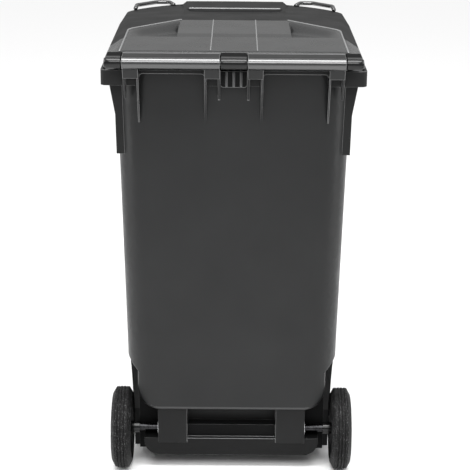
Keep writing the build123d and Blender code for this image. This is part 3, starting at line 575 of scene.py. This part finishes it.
# Finger loops: a round bar moulded out from each front corner of the lid and back again, to lift it by.
LOOP_BAR_R = 5.5 * MM
loop_y = lid_high.y - LOOP_BAR_R
loop_z = lid_bottom + 26 * MM
LOOP_ROUTE = np.array([[267, -114], [267, -57], [215, 0], [180, 0], [167, -46]]) * MM
LOOP_TURN_R = 15 * MM


def rounded_route(corners, radius):
    """The corners joined by straight runs, with a circular arc of this radius at each turn."""
    points = [corners[0]]
    for before, corner, after in zip(corners[:-2], corners[1:-1], corners[2:]):
        back = (before - corner) / np.linalg.norm(before - corner)
        ahead = (after - corner) / np.linalg.norm(after - corner)
        half_angle = math.acos(np.clip(back @ ahead, -1, 1)) / 2
        middle = (back + ahead) / np.linalg.norm(back + ahead)
        centre = corner + middle * radius / math.sin(half_angle)
        first = corner + back * radius / math.tan(half_angle) - centre
        last = corner + ahead * radius / math.tan(half_angle) - centre
        share = np.linspace(0, 1, 10)[:, None]
        arc = first * (1 - share) + last * share
        points += list(centre + radius * arc / np.linalg.norm(arc, axis=1, keepdims=True))
    return np.array(points + [corners[-1]])


def loop_bar(side):
    """A round section carried along the loop's route, held upright: offset by R cos t across it and R sin t
    in Z."""
    route = rounded_route(LOOP_ROUTE, LOOP_TURN_R)
    route = np.column_stack([side * route[:, 0], route[:, 1] + loop_y])
    ahead = np.gradient(route, axis=0)
    ahead /= np.linalg.norm(ahead, axis=1, keepdims=True)
    across = np.column_stack([ahead[:, 1], -ahead[:, 0]])
    turn = np.linspace(0, 2 * math.pi, 20, endpoint=False)
    flat = route[:, None, :] + across[:, None, :] * (LOOP_BAR_R * np.cos(turn))[None, :, None]
    rise = np.broadcast_to(loop_z + LOOP_BAR_R * np.sin(turn), flat.shape[:2])
    return np.concatenate([flat, rise[..., None]], -1)


for side, place in ((-1, "left"), (1, "right")):
    mesh = grid_mesh(f"lid_loop_{place}", loop_bar(side), closed_columns=True)
    close_ends(mesh)
    add_piece(f"lid_loop_{place}", mesh, grip_plastic, "lid")

# ----------------------------------------------------------------------------------------------------------
# Hinge rods. A smooth black plastic rod on each side, pushed in from the outer knuckle up to its flat head.
# ----------------------------------------------------------------------------------------------------------
for place in ("left", "right"):
    rod = nodes[f"hinge_rod_{place}"]
    rod.data.materials.clear()
    rod.data.materials.append(glossy_plastic)

# ----------------------------------------------------------------------------------------------------------
# Axle. A dark coated steel bar with a sleeve at each end and bright push-on washers against the housings.
# ----------------------------------------------------------------------------------------------------------


def metal(name, dark, light, smooth, rough, streak_scale, metallic=1.0):
    """Turned or plated metal: fine streaks round the bar and cloudy patches in its polish."""
    material, tree_nodes, links, shader = new_material(name)
    place = tree_nodes.new("ShaderNodeTexCoord").outputs["Object"]
    stretch = tree_nodes.new("ShaderNodeMapping")
    stretch.inputs["Scale"].default_value = (streak_scale, 1, 1)
    links.new(place, stretch.inputs["Vector"])
    streaks = noise(tree_nodes, links, 30.0, 3.0, stretch.outputs["Vector"])
    clouds = noise(tree_nodes, links, 120.0, 4.0, place)
    colour = tree_nodes.new("ShaderNodeMix")
    colour.data_type = "RGBA"
    colour.inputs["A"].default_value = (*dark, 1)
    colour.inputs["B"].default_value = (*light, 1)
    links.new(ramp(tree_nodes, links, clouds, 0.3, 0.7, 0.0, 1.0), colour.inputs["Factor"])
    links.new(colour.outputs["Result"], shader.inputs["Base Color"])
    links.new(ramp(tree_nodes, links, streaks, 0.3, 0.7, smooth, rough), shader.inputs["Roughness"])
    shader.inputs["Metallic"].default_value = metallic
    return material


coated_steel = metal("coated axle steel", (0.020, 0.020, 0.021), (0.035, 0.035, 0.037), 0.2, 0.32, 40.0)
zinc_plate = metal("zinc plate", (0.80, 0.81, 0.82), (0.93, 0.94, 0.95), 0.35, 0.5, 8.0)
dull_zinc = metal("dulled zinc", (0.84, 0.85, 0.86), (0.93, 0.94, 0.95), 0.5, 0.6, 8.0, metallic=0.2)
node_finishes = {"axle": coated_steel}
for place in ("left", "right"):
    node_finishes[f"axle_washer_{place}"] = dull_zinc
    node_finishes[f"axle_spacer_{place}"] = glossy_plastic
    node_finishes[f"lock_pin_{place}"] = zinc_plate
    node_finishes[f"lock_spring_{place}"] = coated_steel
    node_finishes[f"hub_bush_{place}"] = glossy_plastic
for node, finish in node_finishes.items():
    nodes[node].data.materials.clear()
    nodes[node].data.materials.append(finish)

# ----------------------------------------------------------------------------------------------------------
# Wheels. Solid rubber tyres with three grooves round the tread and chamfered shoulders, on plastic centres.
# The rubber is dull and dusty; the centres have six spokes and a cap over the hub.
# ----------------------------------------------------------------------------------------------------------
TYRE_HALF = 24 * MM
TREAD_HALF = 15 * MM
TYRE_R = 100 * MM
SHOULDER_DROP = 15 * MM
TYRE_BORE_R = 76 * MM
GROOVE_PITCH = 7.5 * MM
GROOVE_HALF = 1.3 * MM
GROOVE_DEPTH = 3 * MM
GROOVE_LIP = 0.35 * MM
AROUND = 160


def tyre_section():
    """The tyre's closed outline as (across, radius): bore, side wall with two raised rings, shoulder and
    tread. The tread is crowned by a parabola, and each groove is a trapezium cut into it."""
    side_r = TYRE_R - SHOULDER_DROP
    wall = [(TYRE_HALF - 1.0 * MM, TYRE_BORE_R), (TYRE_HALF - 0.4 * MM, TYRE_BORE_R + 0.6 * MM),
            (TYRE_HALF - 0.4 * MM, TYRE_BORE_R + 2.2 * MM), (TYRE_HALF - 1.2 * MM, TYRE_BORE_R + 3 * MM),
            (TYRE_HALF - 1.2 * MM, side_r - 3 * MM), (TYRE_HALF - 0.2 * MM, side_r - 2 * MM),
            (TYRE_HALF, side_r - 1 * MM), (TYRE_HALF - 0.3 * MM, side_r),
            (TREAD_HALF + 0.8 * MM, TYRE_R - 1.1 * MM), (TREAD_HALF, TYRE_R - 0.35 * MM)]
    tread = []
    for groove in (1, 0, -1):
        middle = groove * GROOVE_PITCH
        half = [(GROOVE_HALF + GROOVE_LIP, TYRE_R), (GROOVE_HALF, TYRE_R - GROOVE_LIP),
                (GROOVE_HALF * 0.7, TYRE_R - GROOVE_DEPTH)]
        tread += [(middle + across, radius) for across, radius in half]
        tread += [(middle - across, radius) for across, radius in reversed(half)]
    outline = np.array(wall + tread + [(-across, radius) for across, radius in reversed(wall)])
    crown = 0.5 * MM * (outline[:, 0] / TREAD_HALF) ** 2
    outline[:, 1] -= np.where(outline[:, 1] > TYRE_R - 1 * MM, np.minimum(crown, 0.5 * MM), 0)
    return outline


def turned(section, middle_x):
    """A section turned about the axle's line: (x, r) goes to (x, r cos t, r sin t)."""
    turn = np.linspace(0, 2 * math.pi, AROUND, endpoint=False)
    x = np.broadcast_to(section[:, 0, None] + middle_x, (len(section), AROUND))
    y = axle_y + section[:, 1, None] * np.cos(turn)
    z = axle_z + section[:, 1, None] * np.sin(turn)
    return np.stack([x, y, z], -1)


def rubber():
    """Dull rubber: near-black with grey dust in fine specks, rough, with a pitted surface."""
    material, tree_nodes, links, shader = new_material("dusty solid rubber")
    place = tree_nodes.new("ShaderNodeTexCoord").outputs["Object"]
    dust = noise(tree_nodes, links, 420.0, 6.0, place)
    patches = noise(tree_nodes, links, 35.0, 5.0, place)
    amount = tree_nodes.new("ShaderNodeMath")
    amount.operation = "MULTIPLY"
    links.new(ramp(tree_nodes, links, dust, 0.57, 0.72, 0.0, 1.0), amount.inputs[0])
    links.new(ramp(tree_nodes, links, patches, 0.35, 0.7, 0.2, 1.0), amount.inputs[1])
    colour = tree_nodes.new("ShaderNodeMix")
    colour.data_type = "RGBA"
    colour.inputs["A"].default_value = (0.0035, 0.0035, 0.0036, 1)
    colour.inputs["B"].default_value = (0.24, 0.24, 0.243, 1)
    links.new(amount.outputs["Value"], colour.inputs["Factor"])
    links.new(colour.outputs["Result"], shader.inputs["Base Color"])
    shader.inputs["Roughness"].default_value = 0.66
    shader.inputs["Specular IOR Level"].default_value = 0.14
    bump = tree_nodes.new("ShaderNodeBump")
    bump.inputs["Strength"].default_value = 0.5
    bump.inputs["Distance"].default_value = 0.0002
    links.new(dust, bump.inputs["Height"])
    links.new(bump.outputs["Normal"], shader.inputs["Normal"])
    return material


tyre_rubber = rubber()
wheel_plastic = moulded_plastic(
    "wheel plastic", (0.0080, 0.0083, 0.0085), (0.0115, 0.0119, 0.0121),
    0.36, 0.5, 0.00003, shine=0.4)
for side, place in ((-1, "left"), (1, "right")):
    middle_x = joint_at[f"wheel_spin_{place}"][0]
    mesh = grid_mesh(
        f"tyre_{place}_rubber", turned(tyre_section(), middle_x), closed_rows=True, closed_columns=True)
    close_ends(mesh)
    tyre = add_piece(f"tyre_{place}_rubber", mesh, tyre_rubber, f"wheel_{place}")
    mesh.set_sharp_from_angle(angle=math.radians(35))
    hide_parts(f"tyre_{place}")
    for part, radius in (("wheel_centre", 0.0008), ("hub_cap", 0.0004)):
        piece = rounded_copy(f"{part}_{place}", f"{part}_{place}_moulding", wheel_plastic, radius)
        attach(piece, f"wheel_{place}")

# ----------------------------------------------------------------------------------------------------------
# Studio. A pale floor that runs back without a wall, soft even light from all round, and five large lamps.
# The camera stands behind the bin, a little above its lid, and looks down at it.
# ----------------------------------------------------------------------------------------------------------
CAMERA_BACK = 3.404  # behind the axle
CAMERA_HEIGHT = 1.68
CAMERA_SIDE = 0.0055
CAMERA_PITCH = math.radians(17.6)
CAMERA_ROLL = math.radians(0.45)
CAMERA_LENS_MM = 114.9
SENSOR_MM = 36.0

floor_size = 60.0
floor_mesh = bpy.data.meshes.new("floor")
floor_mesh.from_pydata(
    [(x * floor_size, y * floor_size, 0) for x, y in ((-1, -1), (1, -1), (1, 1), (-1, 1))],
    [], [(0, 1, 2, 3)],
)
floor = bpy.data.objects.new("floor", floor_mesh)
bpy.context.scene.collection.objects.link(floor)
floor_material, _, _, floor_shader = new_material("pale floor")
floor_shader.inputs["Base Color"].default_value = (0.9, 0.9, 0.9, 1)
floor_shader.inputs["Roughness"].default_value = 0.9
floor_mesh.materials.append(floor_material)

world = bpy.data.worlds.new("studio")
world.use_nodes = True
sky_nodes, sky_links = world.node_tree.nodes, world.node_tree.links
sky_direction = sky_nodes.new("ShaderNodeTexCoord").outputs["Generated"]
sky_height = sky_nodes.new("ShaderNodeSeparateXYZ")
sky_links.new(sky_direction, sky_height.inputs["Vector"])
sky_links.new(ramp(sky_nodes, sky_links, sky_height.outputs["Z"], 0.25, 0.75, 0.5, 1.2),
              sky_nodes["Background"].inputs["Strength"])
sky_nodes["Background"].inputs["Color"].default_value = (1, 1, 1, 1)
bpy.context.scene.view_settings.view_transform = "Standard"
bpy.context.scene.world = world


def area_lamp(name, power, width, height, place):
    """A rectangular lamp that shines along its own -Z, at this place."""
    lamp_data = bpy.data.lights.new(name, "AREA")
    lamp_data.shape = "RECTANGLE"
    lamp_data.size = width
    lamp_data.size_y = height
    lamp_data.energy = power
    lamp = bpy.data.objects.new(name, lamp_data)
    lamp.matrix_world = place
    bpy.context.scene.collection.objects.link(lamp)


# overhead, a box for the light along the handles and a weak strip over the lid's front; above the camera, a
# box tilted at the handles; at each side, an upright strip for the light down the rounded corners
OVERHEAD = 3.3
area_lamp("box_over_handles", 120, 2.6, 1.2, Matrix.Translation((0, axle_y - 1.1, OVERHEAD)))
area_lamp("strip_over_front", 16, 3.0, 0.5, Matrix.Translation((0, axle_y + 1.4, OVERHEAD)))
area_lamp("box_over_camera", 75, 2.6, 1.3,
          Matrix.Translation((0, axle_y - 3.0, 3.0)) @ Matrix.Rotation(math.radians(52), 4, "X"))
for side, place in ((-1, "left"), (1, "right")):
    upright = Matrix.Rotation(side * math.pi / 2, 4, "Z") @ Matrix.Rotation(math.pi / 2, 4, "X")
    beside = Matrix.Translation((side * 2.6, axle_y - 0.3, 1.3))
    area_lamp(f"side_strip_{place}", 14, 0.5, 2.4, beside @ upright)

camera_data = bpy.data.cameras.new("camera")
camera_data.sensor_width = SENSOR_MM
camera_data.lens = CAMERA_LENS_MM
camera_data.clip_end = 200
camera = bpy.data.objects.new("camera", camera_data)
camera.matrix_world = (
    Matrix.Translation((CAMERA_SIDE, axle_y - CAMERA_BACK, CAMERA_HEIGHT))
    @ Matrix.Rotation(math.pi / 2 - CAMERA_PITCH, 4, "X") @ Matrix.Rotation(CAMERA_ROLL, 4, "Z")
)
bpy.context.scene.collection.objects.link(camera)
bpy.context.scene.camera = camera
